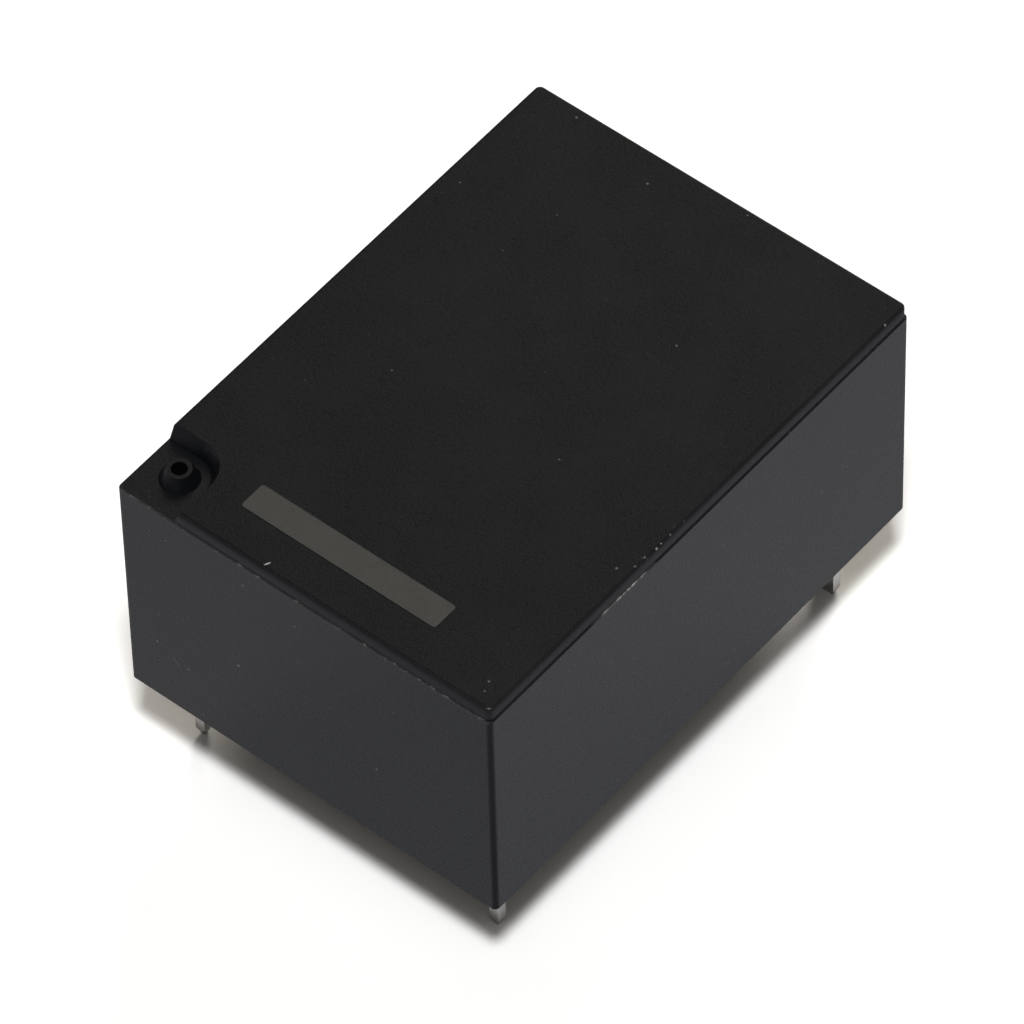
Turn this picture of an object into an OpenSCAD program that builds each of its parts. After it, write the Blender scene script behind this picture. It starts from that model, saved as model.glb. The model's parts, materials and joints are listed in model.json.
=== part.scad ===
// Flat power relay for a printed circuit board, shown whole with its inner works.
// The origin is the middle of the footprint, level with the tips of the solder pins. X runs along the
// case from the coil end (-X) to the contact end (+X), Y runs across it, and Z points up.

/* [Case] */
// Length of the case along X
case_l = 22.0; // [21:0.1:25]
// Width of the case along Y
case_w = 15.9; // [15.9:0.1:19]
// Height from the board to the top of the raised lid
case_h = 10.9; // [10.8:0.1:13]
// Thickness of the case walls
wall = 0.6; // [0.4:0.05:0.8]
// Thickness of the lid above the works
roof = 0.65; // [0.4:0.05:0.7]
// Height of the raised lid plate above the rim
plate_rise = 0.6; // [0.3:0.05:0.8]
// Width of the ledge between the rim and the raised plate
ledge = 0.05; // [0.04:0.01:0.3]
// Radius of the upright corners of the case
corner_r = 0.2; // [0.12:0.01:0.5]
// Radius of the rounded edge of the rim
rim_edge_r = 0.04; // [0.02:0.01:0.1]
// Radius of the upright corners of the raised plate
plate_corner_r = 0.22; // [0.16:0.01:0.5]
// Radius of the rounded upper edge of the raised plate
plate_edge_r = 0.12; // [0.03:0.01:0.15]
// Gap between the lower edge of the case and the board
skirt_gap = 0.25; // [0.1:0.05:0.28]

/* [Vent corner] */
// Distance of the vent from the coil end of the case
vent_inset_x = 1.6; // [1.4:0.05:2]
// Distance of the vent from the long side of the case
vent_inset_y = 1.38; // [1.2:0.02:1.6]
// Radius of the recess around the vent, at its floor
recess_r = 1.02; // [0.9:0.02:1.2]
// Outward lean of the recess wall over its height
recess_lean = 0.32; // [0.1:0.02:0.5]
// Radius of the vent nub at its foot
nub_r = 0.72; // [0.6:0.02:0.8]
// Radius of the vent nub at its top
nub_top_r = 0.44; // [0.4:0.02:0.58]
// Height of the vent nub
nub_h = 0.48; // [0.3:0.02:0.6]
// Radius of the vent hole
vent_r = 0.29; // [0.15:0.01:0.35]

/* [Printed stripe] */
// Length of the stripe along Y
stripe_l = 8.25; // [6:0.05:9]
// Width of the stripe along X
stripe_w = 1.12; // [0.5:0.02:1.4]
// Distance of the middle of the stripe from the coil end of the case
stripe_inset = 2.16; // [1.6:0.02:3]
// Distance of the middle of the stripe from the middle of the case, away from the vent
stripe_shift = 0.21; // [0:0.01:0.6]
// Thickness of the printed ink
stripe_t = 0.02; // [0.01:0.01:0.04]

/* [Base] */
// Thickness of the base plate
base_t = 1.0; // [0.9:0.05:1.2]
// Height of the base plate above the board
base_sink = 0.9; // [0.8:0.05:1]
// Gap between the base and the case walls
base_play = 0.05; // [0.02:0.01:0.1]
// Thickness of the sealing resin under the base
resin_t = 0.6; // [0.3:0.05:0.62]
// Radius of a standoff foot
foot_r = 0.55; // [0.4:0.05:0.7]
// Distance of a standoff foot from the ends of the case
foot_inset_x = 4.2; // [3.8:0.1:5]
// Distance of a standoff foot from the long sides of the case
foot_inset_y = 1.5; // [1.3:0.1:2]
// Thickness of the barrier between the coil and the contacts
barrier_t = 0.6; // [0.4:0.05:0.8]
// Gap between a fixed piece and the pocket or slot that holds it
seat_play = 0.02; // [0.01:0.01:0.05]

/* [Terminals] */
// Length of the solder pins below the board face of the case
pin_len = 3.5; // [2.5:0.1:5]
// Thickness of the contact terminals
sheet_t = 0.4; // [0.3:0.05:0.5]
// Width of a contact pin
contact_pin_w = 0.8; // [0.6:0.05:1]
// Thickness of a square coil pin
coil_pin = 0.4; // [0.3:0.05:0.5]
// How far each side of a pin leans in at its tip
tip_chamfer = 0.12; // [0.04:0.01:0.12]
// Height over which a pin tapers to its tip
tip_taper = 0.34; // [0.1:0.02:0.6]
// Distance of the coil pins from the coil end of the case
coil_pin_inset = 1.8; // [1.7:0.05:2]
// Distance of the coil pins from the long sides of the case
coil_pin_side = 1.5; // [1.4:0.05:1.6]
// Distance of the contact pins from the contact end of the case
contact_pin_inset = 2.14; // [1.8:0.02:2.2]
// Distance of the outer edge of the contact pins from the long sides
contact_pin_side = 1.25; // [1.15:0.05:1.4]

/* [Coil] */
// Room from the barrier to the moving contact spring, which the winding leaves free
contact_room = 2.57; // [2.4:0.01:3.6]
// Width of the copper winding
winding_w = 9.4; // [8.4:0.1:9.8]
// How far the bobbin flanges stand out above and below the winding
winding_margin = 0.15; // [0.05:0.01:0.5]
// Width of the bobbin flanges
flange_w = 10.4; // [10:0.1:10.8]
// Thickness of the bobbin flanges
flange_t = 0.7; // [0.5:0.05:0.8]
// Wall of the bobbin tube
tube_wall = 0.5; // [0.3:0.05:0.6]
// Width of the iron core
core_w = 4.4; // [3.6:0.1:4.8]
// Height of the iron core
core_h = 1.6; // [1.2:0.1:2]
// Radius of the enamelled lead wire
wire_r = 0.06; // [0.04:0.01:0.08]

/* [Magnet] */
// Thickness of the pole head
pole_t = 0.8; // [0.5:0.05:0.9]
// Width of the pole head
pole_w = 6.6; // [5.6:0.1:7.6]
// Height of the pole head
pole_h = 4.6; // [3.6:0.1:5]
// Thickness of the yoke
yoke_t = 0.9; // [0.8:0.05:0.95]
// Width of the yoke
yoke_w = 8.4; // [7:0.1:8.6]
// Thickness of the armature
armature_t = 0.9; // [0.7:0.05:1]
// Width of the armature
armature_w = 8.2; // [7:0.1:8.6]
// Space between the case wall and the pole face
armature_room = 3.4; // [3.3:0.05:3.5]
// Angle of the armature when the coil is off
open_angle = 6.0; // [5:0.1:6.2]
// Air left between the closed armature and the iron
iron_gap = 0.05; // [0.03:0.01:0.08]
// Thickness of the hinge spring
hinge_spring_t = 0.12; // [0.08:0.01:0.15]
// Width of the hinge spring
hinge_spring_w = 3.0; // [2.4:0.1:3.6]

/* [Card and contacts] */
// Thickness of the card
card_t = 0.7; // [0.5:0.05:0.72]
// Width of the card
card_w = 5.0; // [4.4:0.1:5.4]
// Width of the armature tongue in the card
tongue_w = 2.2; // [1.8:0.1:2.6]
// Thickness of the moving contact spring
spring_t = 0.15; // [0.1:0.01:0.18]
// Width of the moving contact spring
spring_w = 4.4; // [3.6:0.1:4.6]
// Open gap between the contacts
contact_gap = 0.58; // [0.56:0.01:0.7]
// Radius of a contact head
contact_r = 1.1; // [0.8:0.05:1.2]
// Height of a contact head
contact_h = 0.47; // [0.35:0.01:0.5]
// Room between the rims of the contacts and the card above them
contact_drop = 0.5; // [0.4:0.05:0.9]
// Room between the card and the lid
card_room = 0.35; // [0.3:0.01:0.45]
// Clearance between pieces that move and their guides
run_gap = 0.05; // [0.03:0.01:0.06]

/* [Hidden] */
$fn = 64;
EPS = 0.01;
OVER = 1;
WIRE_SIDES = 8;

// Levels above the pin tips
seat_z = pin_len;
top_z = seat_z + case_h;
rim_z = top_z - plate_rise;
skirt_z = seat_z + skirt_gap;
base_z = seat_z + base_sink;
floor_z = base_z + base_t;
flange_z = floor_z + yoke_t + run_gap;
ceiling_z = top_z - roof;
card_z = ceiling_z - card_room - card_t;
card_mid_z = card_z + card_t / 2;
flange_h = card_z - run_gap - flange_z;
winding_h = flange_h - 2 * winding_margin;
coil_z = flange_z + flange_h / 2;
corner_ceiling_z = rim_z - wall;

// Plan of the case
inner_l = case_l - 2 * wall;
inner_w = case_w - 2 * wall;
inner_x = inner_l / 2;
inner_r = 0.4;
vent_x = vent_inset_x - case_l / 2;
vent_y = case_w / 2 - vent_inset_y;

// Places along X, from the pole face to the contacts
pole_x = armature_room - inner_x;
flange_x = pole_x + pole_t;
winding_x = flange_x + flange_t;
heel_t = yoke_t + 0.1;
blade_x = case_l / 2 - contact_pin_inset - sheet_t / 2;
spring_x = blade_x - 2 * contact_h - contact_gap;
winding_l = spring_x - contact_room - 0.4 - heel_t - run_gap - flange_t - winding_x;
rear_flange_x = winding_x + winding_l;
heel_x = rear_flange_x + flange_t + run_gap;
heel_rise = 2.4;
barrier_x = heel_x + heel_t + 0.4;
contact_z = card_z - contact_drop - contact_r;

// Hinge of the armature, at the end of the yoke, and its tongue in the card
hinge_x = pole_x - iron_gap;
hinge_z = floor_z + 2.5 * run_gap;
body_top_z = coil_z + pole_h / 2 + 0.3;
tongue_drop = card_mid_z - hinge_z;
tongue_in_x = hinge_x - tongue_drop * tan(open_angle);
tongue_out_x = tongue_in_x - armature_t / cos(open_angle);
tongue_lean = card_t / 2 * tan(open_angle) + 0.04;

// Card and root of the moving spring
card_end = 0.7;
card_x = tongue_out_x - tongue_lean - card_end;
nose_x = spring_x - spring_t - 0.03;
nose_w = 3.0;
root_rise = 1.3;
root_z = floor_z + root_rise;

// Pins
coil_pin_x = coil_pin_inset - case_l / 2;
coil_pin_y = case_w / 2 - coil_pin_side;
blade_y = case_w / 2 - contact_pin_side - contact_pin_w / 2;
post_rise = 4.5;
arm_rise = 2.7;
arm_x = coil_pin_x - 0.8;
arm_edge_y = coil_pin_y + 0.6;
arm_w = arm_edge_y - flange_w / 2 + 0.35;
arm_y = arm_edge_y - arm_w / 2;
foot_t = sheet_t;
foot_edge_y = spring_w / 2;

// Carries a flat outline along Y, with its second axis upwards
module along_y(width) {
    rotate([90, 0, 0])
        linear_extrude(width, center = true)
            children();
}

// Carries a flat outline along X, with its first axis along Y and its second upwards
module along_x(length) {
    rotate([90, 0, 90])
        linear_extrude(length)
            children();
}

// Box from one corner to the opposite one
module span(low, high) {
    translate(low)
        cube(high - low);
}

// Rectangle about the origin with round corners
module round_rect(l, w, r) {
    square([l - 2 * r, w], center = true);
    square([l, w - 2 * r], center = true);
    for (x = [-1, 1], y = [-1, 1])
        translate([x * (l / 2 - r), y * (w / 2 - r)])
            circle(r);
}

// Outline with two half-round ends
module stadium(l, w) {
    square([l - w, w], center = true);
    for (x = [-1, 1])
        translate([x * (l - w) / 2, 0])
            circle(w / 2);
}

// Block with round upright corners and a rounded upper edge
module soft_block(l, w, h, corner, edge) {
    linear_extrude(h - edge)
        round_rect(l, w, corner);
    linear_extrude(h)
        round_rect(l - 2 * edge, w - 2 * edge, corner - edge);
    for (y = [-1, 1])
        translate([0, y * (w / 2 - edge), h - edge])
            rotate([0, 90, 0])
                cylinder(h = l - 2 * corner, r = edge, center = true);
    for (x = [-1, 1])
        translate([x * (l / 2 - edge), 0, h - edge])
            rotate([90, 0, 0])
                cylinder(h = w - 2 * corner, r = edge, center = true);
    for (x = [-1, 1], y = [-1, 1])
        translate([x * (l / 2 - corner), y * (w / 2 - corner), h - edge])
            rotate_extrude()
                intersection() {
                    translate([corner - edge, 0])
                        circle(edge);
                    square([corner, edge]);
                }
}

// Strip of sheet metal seen from its edge, through a list of points
module strip(points, t) {
    for (i = [0 : len(points) - 2]) {
        step = points[i + 1] - points[i];
        translate(points[i])
            rotate(atan2(step[1], step[0]))
                translate([0, -t / 2])
                    square([norm(step), t]);
    }
    for (i = [1 : len(points) - 1])
        translate(points[i])
            circle(t / 2);
}

// Pin of rectangular section with a tapered lower tip, from z = 0 upwards
module pin(wx, wy, h) {
    intersection() {
        along_y(wy)
            tip_outline(wx, h);
        translate([-wx / 2, 0, 0])
            along_x(wx)
                tip_outline(wy, h);
    }
}

module tip_outline(w, h) {
    tip = w / 2 - tip_chamfer;
    polygon([[-tip, 0], [tip, 0], [w / 2, tip_taper], [w / 2, h], [-w / 2, h], [-w / 2, tip_taper]]);
}

// Contact rivet along X: domed head in front of x = 0, shank and tail behind it
module rivet(shank) {
    dome = 0.15;
    dome_r = (contact_r * contact_r + dome * dome) / (2 * dome);
    tail = 0.2;
    rotate([0, 90, 0]) {
        intersection() {
            cylinder(h = contact_h, r = contact_r);
            translate([0, 0, contact_h - dome_r])
                sphere(dome_r);
        }
        translate([0, 0, -shank - tail])
            cylinder(h = shank + tail + EPS, r = contact_r / 2);
        translate([0, 0, -shank - tail])
            cylinder(h = tail, r = contact_r * 0.75);
    }
}

// Hole through sheet metal for the shank of a contact rivet
module rivet_hole(x) {
    translate([x, 0, contact_z])
        rotate([0, 90, 0])
            cylinder(h = 4 * sheet_t, r = contact_r / 2 + seat_play, center = true);
}

function unit(v) = v / norm(v);

// Direction of a route at one of its points
function heading(route, i) = unit(route[min(i + 1, len(route) - 1)] - route[max(i - 1, 0)]);

// Points of a ring of wire round a point that the wire passes in direction t, which is never upright
function wire_ring(p, t) =
    let (u = unit(cross(t, [0, 0, 1])), v = cross(u, t))
    [for (j = [0 : WIRE_SIDES - 1])
        p + wire_r * (cos(j * 360 / WIRE_SIDES) * u + sin(j * 360 / WIRE_SIDES) * v)];

// Round wire swept along a route
module wire(route) {
    n = WIRE_SIDES;
    last = len(route) - 1;
    polyhedron(
        points = [for (i = [0 : last]) each wire_ring(route[i], heading(route, i))],
        faces = concat(
            [[for (j = [0 : n - 1]) n - 1 - j]],
            [for (i = [0 : last - 1], j = [0 : n - 1])
                [i * n + j, i * n + (j + 1) % n, (i + 1) * n + (j + 1) % n, (i + 1) * n + j]],
            [[for (j = [0 : n - 1]) last * n + j]]));
}

// Space cut out of the raised plate around the vent, with a leaning wall
module vent_recess() {
    h = plate_rise + EPS;
    lean = recess_lean * h / plate_rise;
    translate([vent_x, vent_y, rim_z]) {
        cylinder(h = h, r1 = recess_r, r2 = recess_r + lean);
        translate([-vent_inset_x - OVER, 0, 0])
            along_x(vent_inset_x + OVER)
                polygon([[-recess_r, 0], [vent_inset_y + OVER, 0], [vent_inset_y + OVER, h], [-recess_r - lean, h]]);
        translate([0, (vent_inset_y + OVER) / 2, 0])
            along_y(vent_inset_y + OVER)
                polygon([[recess_r, 0], [recess_r + lean, h], [-vent_inset_x - OVER, h], [-vent_inset_x - OVER, 0]]);
    }
}

// Inside of the cover: a box that is a little lower under the vent corner
module cover_cavity() {
    corner_l = vent_inset_x + recess_r + recess_lean;
    corner_w = vent_inset_y + recess_r + recess_lean;
    translate([0, 0, skirt_z - OVER])
        linear_extrude(corner_ceiling_z - skirt_z + OVER)
            round_rect(inner_l, inner_w, inner_r);
    difference() {
        translate([0, 0, corner_ceiling_z - EPS])
            linear_extrude(ceiling_z - corner_ceiling_z + EPS)
                round_rect(inner_l - 2 * ledge, inner_w - 2 * ledge, inner_r);
        span([-case_l / 2, case_w / 2 - corner_w - wall, corner_ceiling_z - OVER],
             [corner_l + wall - case_l / 2, case_w / 2, ceiling_z + OVER]);
    }
}

// Ribs inside the cover that stop the armature when the coil is off
module stop_ribs() {
    rib_t = 0.7;
    rib_y = armature_w / 2 - rib_t - 0.3;
    rib_low_z = body_top_z - 1;
    rise = body_top_z - hinge_z;
    tip_x = hinge_x - rise * tan(open_angle) - armature_t / cos(open_angle) - 0.03;
    for (y = [-1, 1])
        translate([0, y * (rib_y + rib_t / 2), 0])
            span([-inner_x - EPS, -rib_t / 2, rib_low_z], [tip_x, rib_t / 2, ceiling_z + EPS]);
}

module cover() {
    color("#26272a")
        difference() {
            union() {
                difference() {
                    union() {
                        translate([0, 0, skirt_z])
                            soft_block(case_l, case_w, rim_z - skirt_z, corner_r, rim_edge_r);
                        translate([0, 0, rim_z - EPS])
                            soft_block(case_l - 2 * ledge, case_w - 2 * ledge, plate_rise + EPS,
                                       plate_corner_r, plate_edge_r);
                    }
                    vent_recess();
                    cover_cavity();
                }
                translate([vent_x, vent_y, rim_z - EPS])
                    cylinder(h = nub_h + EPS, r1 = nub_r, r2 = nub_top_r);
                stop_ribs();
            }
            translate([vent_x, vent_y, corner_ceiling_z - OVER])
                cylinder(h = wall + nub_h + 2 * OVER, r = vent_r);
        }
}

module end_stripe() {
    color("#56524f")
        translate([stripe_inset - case_l / 2, -stripe_shift, top_z])
            linear_extrude(stripe_t)
                round_rect(stripe_w, stripe_l, 0.12);
}

// Flat foot of the moving terminal, let into the base
module terminal_foot(grow) {
    linear_extrude(foot_t + grow)
        polygon([[spring_x - grow, -blade_y - contact_pin_w / 2 - grow],
                 [blade_x + sheet_t + grow, -blade_y - contact_pin_w / 2 - grow],
                 [blade_x + sheet_t + grow, -blade_y + contact_pin_w / 2 + grow],
                 [blade_x - sheet_t + grow, -blade_y + contact_pin_w / 2 + grow],
                 [blade_x - sheet_t + grow, foot_edge_y + grow],
                 [spring_x - grow, foot_edge_y + grow]]);
}

// Barrier between coil and contacts, with two ears that guide the card
module barrier() {
    half_w = inner_w / 2 - base_play - 0.2;
    ear_top_z = card_z + card_t + run_gap;
    span([barrier_x, -half_w, floor_z - EPS], [barrier_x + barrier_t, half_w, card_z - run_gap]);
    for (y = [-1, 1])
        translate([0, y * (card_w / 2 + run_gap + barrier_t), 0])
            span([barrier_x, -barrier_t, card_z - run_gap - EPS], [barrier_x + barrier_t, barrier_t, ear_top_z]);
}

module base() {
    color("#2e3034")
        difference() {
            union() {
                translate([0, 0, base_z])
                    linear_extrude(base_t)
                        round_rect(inner_l - 2 * base_play, inner_w - 2 * base_play, inner_r);
                for (x = [-1, 1], y = [-1, 1])
                    translate([x * (case_l / 2 - foot_inset_x), y * (case_w / 2 - foot_inset_y), seat_z])
                        cylinder(h = base_sink + EPS, r = foot_r);
                barrier();
            }
            for (y = [-1, 1])
                translate([coil_pin_x, y * coil_pin_y, base_z])
                    cube([coil_pin + 2 * seat_play, coil_pin + 2 * seat_play, 2 * base_t + OVER], center = true);
            translate([0, 0, floor_z - foot_t])
                terminal_foot(seat_play);
            for (y = [-1, 1])
                translate([blade_x + sheet_t / 2, y * blade_y, base_z])
                    cube([sheet_t + 2 * seat_play, contact_pin_w + 2 * seat_play, 2 * base_t + OVER], center = true);
            translate([0, 0, floor_z])
                hinge_spring_shape(seat_play);
        }
}

module sealing_resin() {
    color("#3b3a37")
        translate([0, 0, base_z - resin_t])
            linear_extrude(resin_t)
                difference() {
                    round_rect(inner_l, inner_w, inner_r);
                    for (x = [-1, 1], y = [-1, 1])
                        translate([x * (case_l / 2 - foot_inset_x), y * (case_w / 2 - foot_inset_y)])
                            circle(foot_r);
                    for (y = [-1, 1]) {
                        translate([coil_pin_x, y * coil_pin_y])
                            square(coil_pin, center = true);
                        translate([blade_x + sheet_t / 2, y * blade_y])
                            square([sheet_t, contact_pin_w], center = true);
                    }
                }
}

// One bobbin flange, from x = 0 forwards, with ears that guide the card
module flange() {
    ear_t = 0.6;
    translate([0, 0, coil_z])
        along_x(flange_t)
            round_rect(flange_w, flange_h, 0.5);
    for (y = [-1, 1])
        translate([0, y * (card_w / 2 + run_gap + ear_t / 2), 0])
            span([0, -ear_t / 2, coil_z], [flange_t, ear_t / 2, card_z + card_t]);
}

module bobbin() {
    color("#d9d4c5")
        difference() {
            union() {
                translate([flange_x, 0, 0])
                    flange();
                translate([rear_flange_x, 0, 0])
                    flange();
                translate([winding_x - EPS, 0, coil_z])
                    along_x(winding_l + 2 * EPS)
                        round_rect(core_w + 2 * tube_wall, core_h + 2 * tube_wall, 0.6);
                for (y = [-1, 1])
                    translate([0, y * arm_y, 0])
                        span([arm_x, -arm_w / 2, floor_z], [winding_x, arm_w / 2, floor_z + arm_rise]);
            }
            translate([flange_x - OVER, 0, coil_z])
                along_x(winding_l + 2 * flange_t + 2 * OVER)
                    round_rect(core_w + 2 * seat_play, core_h + 2 * seat_play, 0.3);
            for (y = [-1, 1])
                translate([coil_pin_x, y * coil_pin_y, floor_z])
                    cube([coil_pin + 2 * seat_play, coil_pin + 2 * seat_play, 3 * arm_rise], center = true);
        }
}

module coil_winding() {
    color("#b0632f")
        translate([winding_x + run_gap, 0, coil_z])
            along_x(winding_l - 2 * run_gap)
                difference() {
                    stadium(winding_w, winding_h);
                    round_rect(core_w + 2 * tube_wall, core_h + 2 * tube_wall, 0.6);
                }
}

// Lead from the winding, round the flange to its post, where it is wrapped in a helix
module lead_wire(side) {
    turns = 5;
    steps = 12;
    pitch = 2.2 * wire_r;
    wrap_r = coil_pin * 0.71 + wire_r + 0.01;
    wrap_z = floor_z + arm_rise + 0.5;
    skin_y = winding_w / 2 + wire_r + 0.01;
    bend_y = flange_w / 2 + 2 * wire_r;
    wire(concat(
        [[winding_x + 0.3, side * skin_y, coil_z],
         [winding_x + 0.3, side * (bend_y - 0.2), coil_z],
         [winding_x + 0.1, side * bend_y, coil_z],
         [flange_x - 0.2, side * bend_y, coil_z - 0.2]],
        [for (i = [0 : turns * steps])
            let (a = i * 360 / steps)
            [coil_pin_x - wrap_r * sin(a), side * (coil_pin_y - wrap_r * cos(a)), wrap_z + i * pitch / steps]]));
}

module lead_wire_front() {
    color("#c2703a")
        lead_wire(-1);
}

module lead_wire_back() {
    color("#c2703a")
        lead_wire(1);
}

module coil_terminal(side) {
    translate([coil_pin_x, side * coil_pin_y, 0])
        pin(coil_pin, coil_pin, floor_z + post_rise);
}

module coil_terminal_front() {
    color("#c9c8c2")
        coil_terminal(-1);
}

module coil_terminal_back() {
    color("#c9c8c2")
        coil_terminal(1);
}

// Flat core with its pole head and the tail that is riveted into the yoke
module core() {
    tail_w = core_w - 1;
    tail_out = 0.15;
    color("#8d8f92")
        translate([0, 0, coil_z]) {
            translate([pole_x, 0, 0])
                along_x(pole_t)
                    round_rect(pole_w, pole_h, 0.6);
            translate([flange_x - EPS, 0, 0])
                along_x(heel_x - flange_x + EPS)
                    round_rect(core_w, core_h, 0.3);
            translate([heel_x - EPS, 0, 0])
                along_x(heel_t + tail_out + EPS)
                    square([tail_w, core_h], center = true);
        }
}

// L-shaped yoke under the coil, with its heel behind the coil
module yoke() {
    heel_top_z = coil_z + heel_rise;
    tail_w = core_w - 1 + 2 * seat_play;
    bend_r = 0.8;
    back_x = heel_x + heel_t;
    color("#a3a5a6")
        difference() {
            along_y(yoke_w)
                difference() {
                    union() {
                        translate([pole_x, floor_z])
                            square([back_x - pole_x, yoke_t]);
                        translate([heel_x, floor_z])
                            square([heel_t, heel_top_z - floor_z]);
                    }
                    translate([back_x - bend_r, floor_z - EPS])
                        difference() {
                            square(bend_r + EPS);
                            translate([0, bend_r + EPS])
                                circle(bend_r);
                        }
                }
            translate([heel_x - OVER, -tail_w / 2, coil_z - core_h / 2 - seat_play])
                cube([heel_t + 2 * OVER, tail_w, core_h + 2 * seat_play]);
        }
}

// Leaf that stands in the base and holds the armature on the end of the yoke
module hinge_spring_shape(grow) {
    root_x = hinge_x - armature_t - hinge_spring_w / 3;
    nose_z = 1.5;
    face_x = hinge_x - armature_t / cos(open_angle) - nose_z * tan(open_angle);
    nose_r = 0.14;
    along_y(hinge_spring_w + 2 * grow)
        strip([[root_x, -0.5 - grow],
               [root_x, 0.8],
               [face_x - nose_r - 0.08, nose_z]],
              hinge_spring_t + 2 * grow);
    translate([face_x - nose_r - run_gap, 0, nose_z])
        rotate([90, 0, 0])
            cylinder(h = hinge_spring_w, r = nose_r, center = true);
}

module hinge_spring() {
    color("#c8a24a")
        translate([0, 0, floor_z])
            hinge_spring_shape(0);
}

// Flat armature with the tongue that drives the card, as it stands when drawn to the pole
module armature_closed() {
    step_w = armature_w - 1.4;
    tongue_top = card_z + card_t - hinge_z;
    body_top = body_top_z - hinge_z;
    translate([-armature_t, 0, 0])
        along_x(armature_t)
            polygon([[-armature_w / 2, 0], [armature_w / 2, 0], [armature_w / 2, body_top - 0.7],
                     [step_w / 2, body_top], [tongue_w / 2, body_top], [tongue_w / 2, tongue_top],
                     [-tongue_w / 2, tongue_top], [-tongue_w / 2, body_top], [-step_w / 2, body_top],
                     [-armature_w / 2, body_top - 0.7]]);
}

module armature() {
    color("#97999b")
        translate([hinge_x, 0, hinge_z])
            rotate([0, -open_angle, 0])
                armature_closed();
}

// Sliding card from the armature tongue to the moving spring
module card() {
    rail = 0.9;
    window_x = tongue_in_x + tongue_lean + card_end;
    window_l = (barrier_x - window_x - rail) / 2;
    neck_x = barrier_x + barrier_t;
    nose_r = card_t / 2;
    color("#d8742c")
        translate([0, 0, card_z]) {
            difference() {
                union() {
                    span([card_x, -card_w / 2, 0], [neck_x, card_w / 2, card_t]);
                    span([neck_x - EPS, -nose_w / 2, 0], [nose_x - nose_r, nose_w / 2, card_t]);
                    translate([nose_x - nose_r, 0, nose_r])
                        rotate([90, 0, 0])
                            cylinder(h = nose_w, r = nose_r, center = true);
                }
                span([tongue_out_x - tongue_lean, -tongue_w / 2 - run_gap, -OVER],
                     [tongue_in_x + tongue_lean, tongue_w / 2 + run_gap, card_t + OVER]);
                for (i = [0 : 1])
                    translate([window_x + i * (window_l + rail), 0, -OVER])
                        span([0, rail - card_w / 2, 0], [window_l, card_w / 2 - rail, card_t + 2 * OVER]);
            }
        }
}

// Leaf that carries the moving contact, with a slot that softens its foot
module moving_spring() {
    top_w = nose_w + 0.2;
    foot_z = floor_z + run_gap;
    tip_z = card_mid_z + card_t / 2;
    slot_w = 1.2;
    color("#c9975b")
        difference() {
            translate([spring_x - spring_t, 0, 0])
                along_x(spring_t)
                    difference() {
                        polygon([[-spring_w / 2, foot_z], [spring_w / 2, foot_z], [spring_w / 2, contact_z],
                                 [top_w / 2, contact_z + contact_r], [top_w / 2, tip_z], [-top_w / 2, tip_z],
                                 [-top_w / 2, contact_z + contact_r], [-spring_w / 2, contact_z]]);
                        translate([0, (root_z + contact_z - contact_r) / 2])
                            rotate(90)
                                stadium(contact_z - contact_r - root_z - 0.6, slot_w);
                    }
            rivet_hole(spring_x - spring_t / 2);
        }
}

module moving_contact() {
    color("#d8d6cf")
        translate([spring_x, 0, contact_z])
            rivet(spring_t);
}

// Bent terminal: pin, flat foot in the base, and the tab that carries the moving spring
module moving_terminal() {
    color("#c58f4e") {
        translate([0, 0, floor_z - foot_t])
            terminal_foot(0);
        span([spring_x, -spring_w / 2, floor_z - EPS], [spring_x + sheet_t, spring_w / 2, root_z]);
        translate([blade_x + sheet_t / 2, -blade_y, 0])
            pin(sheet_t, contact_pin_w, floor_z - foot_t + EPS);
    }
}

// Upright terminal that carries the fixed contact, with its pin
module fixed_terminal() {
    low_z = floor_z + 0.3;
    high_z = contact_z + contact_r + 0.5;
    outer_y = blade_y + contact_pin_w / 2;
    color("#c58f4e") {
        difference() {
            translate([blade_x, 0, 0])
                along_x(sheet_t)
                    polygon([[-spring_w / 2, low_z], [blade_y - contact_pin_w, low_z],
                             [blade_y - contact_pin_w / 2, low_z - 0.3], [outer_y, low_z - 0.3],
                             [outer_y, contact_z], [outer_y - 1.2, high_z], [-spring_w / 2, high_z]]);
            rivet_hole(blade_x + sheet_t / 2);
        }
        translate([blade_x + sheet_t / 2, blade_y, 0])
            pin(sheet_t, contact_pin_w, floor_z + EPS);
    }
}

module fixed_contact() {
    color("#d8d6cf")
        translate([blade_x, 0, contact_z])
            rotate([0, 0, 180])
                rivet(sheet_t);
}

cover();
end_stripe();
base();
sealing_resin();
bobbin();
coil_winding();
lead_wire_front();
lead_wire_back();
coil_terminal_front();
coil_terminal_back();
core();
yoke();
hinge_spring();
armature();
card();
moving_spring();
moving_contact();
moving_terminal();
fixed_terminal();
fixed_contact();
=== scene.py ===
"""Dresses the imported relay: the case's texture, wear and print, the pins, the resin and the inner works.

Every length is in metres in the row frame unless a name or its description says millimetres. X runs from
the coil end to the contact end, Y across the case and Z up from the tips of the solder pins.
"""

from __future__ import annotations

import json
import logging
import math
from abc import ABC, abstractmethod
from dataclasses import dataclass
from enum import Enum
from typing import Any, Sequence, Union

import bpy
import numpy as np
from mathutils import Matrix, Vector

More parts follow.
